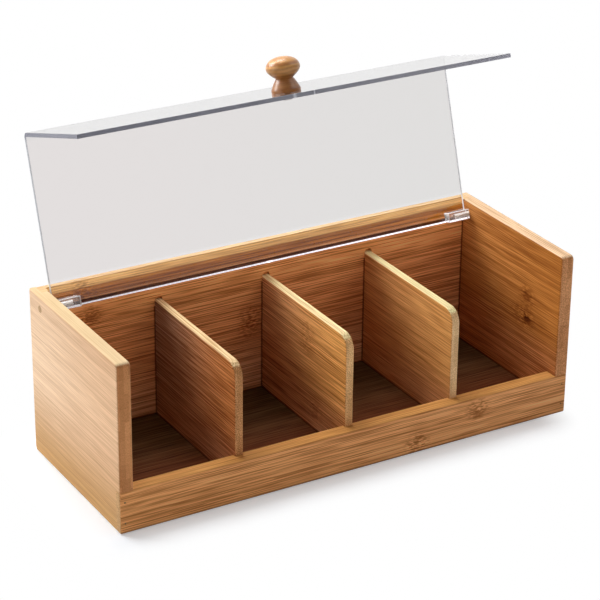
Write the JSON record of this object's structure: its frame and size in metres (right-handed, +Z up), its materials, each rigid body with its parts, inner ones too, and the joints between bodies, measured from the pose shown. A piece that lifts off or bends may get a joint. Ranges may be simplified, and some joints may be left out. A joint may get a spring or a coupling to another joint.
{
  "type": "wooden compartment box",
  "caption": "Free-standing bamboo box with open-fronted bays behind a low rail and a clear bent acrylic lid that swings up and back on pins, for sorting small packets.",
  "frame": {"origin": "middle of the base, on the surface it stands on", "axes": "+X along the length, the open front faces -Y, +Z up"},
  "size_m": [0.343, 0.1512, 0.2586],
  "materials": {
    "bamboo_board": "satin lacquer",
    "bamboo_divider": "satin lacquer",
    "bamboo_plug": "satin lacquer",
    "turned_bamboo": "gloss lacquer",
    "clear_acrylic": "polished clear",
    "pin_steel": "bright",
    "screw_steel": "bright zinc",
    "brad_steel": "dull"
  },
  "bodies": {
    "box": {"left_side_panel": "bamboo_board", "right_side_panel": "bamboo_board", "back_panel": "bamboo_board", "front_rail": "bamboo_board", "floor_panel": "bamboo_board", "divider_left": "bamboo_divider", "divider_middle": "bamboo_divider", "divider_right": "bamboo_divider", "hinge_pin_left": "pin_steel", "hinge_pin_right": "pin_steel", "pin_plug_left": "bamboo_plug", "pin_plug_right": "bamboo_plug", "rail_brads_left": "brad_steel", "rail_brads_right": "brad_steel", "back_brads_left": "brad_steel", "back_brads_right": "brad_steel"},
    "lid": {"lid_sheet": "clear_acrylic", "hinge_block_left": "clear_acrylic", "hinge_block_right": "clear_acrylic", "lid_knob": "turned_bamboo", "knob_screw": "screw_steel"}
  },
  "joints": [
    {"name": "lid_hinge", "type": "hinge", "parent": "box", "child": "lid", "pos_m": [0, 0.04776, 0.1103], "axis": [1, 0, 0], "range_deg": [0, 107.6]}
  ]
}
